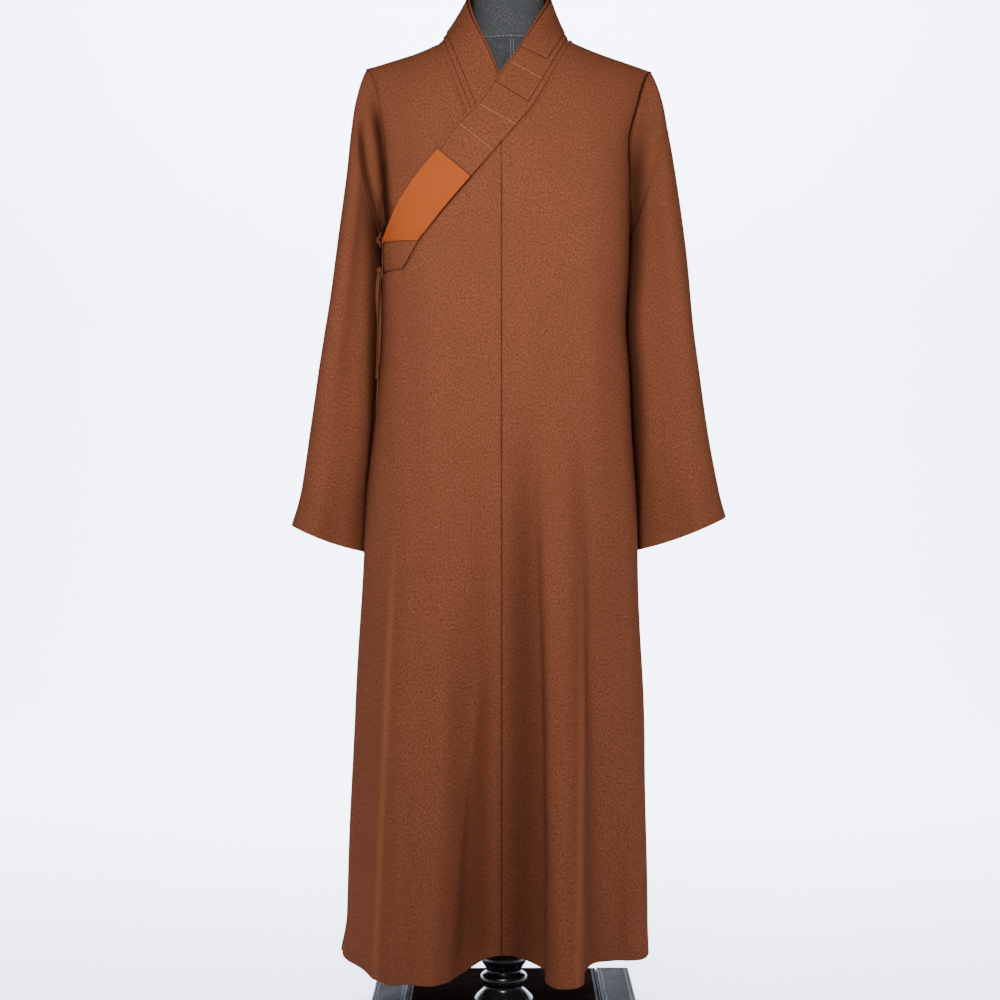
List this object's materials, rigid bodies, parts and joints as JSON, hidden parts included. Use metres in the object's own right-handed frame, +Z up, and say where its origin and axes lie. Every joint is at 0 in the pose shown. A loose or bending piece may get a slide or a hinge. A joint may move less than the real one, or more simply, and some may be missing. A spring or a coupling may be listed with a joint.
{
  "type": "buddhist monk robe on a dress form",
  "caption": "Long wrapped monk's robe with a layered slanting collar, a collar patch and hanging sleeves, worn by a limbless dress form on a turned post and a square base.",
  "frame": {"origin": "on the floor, under the middle of the turned post", "axes": "+X towards the wearer's left, -Y the front, +Z up"},
  "size_m": [0.6483, 0.4144, 1.605],
  "materials": {
    "robe_wool": "matte reddish-brown wool",
    "patch_cloth": "matte orange ribbed cloth",
    "form_cloth": "matte charcoal cloth cover",
    "post_lacquer": "gloss black lacquer",
    "base_stain": "satin dark stain"
  },
  "bodies": {
    "root": {"back_left": "robe_wool", "back_right": "robe_wool", "base_board": "base_stain", "base_rail_left": "base_stain", "base_rail_right": "base_stain", "collar_band": "robe_wool", "collar_middle_layer": "robe_wool", "collar_patch": "patch_cloth", "collar_top_layer": "robe_wool", "form_post": "post_lacquer", "form_torso": "form_cloth", "front_left": "robe_wool", "front_overlap": "robe_wool", "front_under": "robe_wool", "sleeve_left": "robe_wool", "sleeve_right": "robe_wool", "tie_knot": "robe_wool", "tie_strand_back": "robe_wool", "tie_strand_front": "robe_wool", "tie_tab": "robe_wool"}
  },
  "joints": []
}
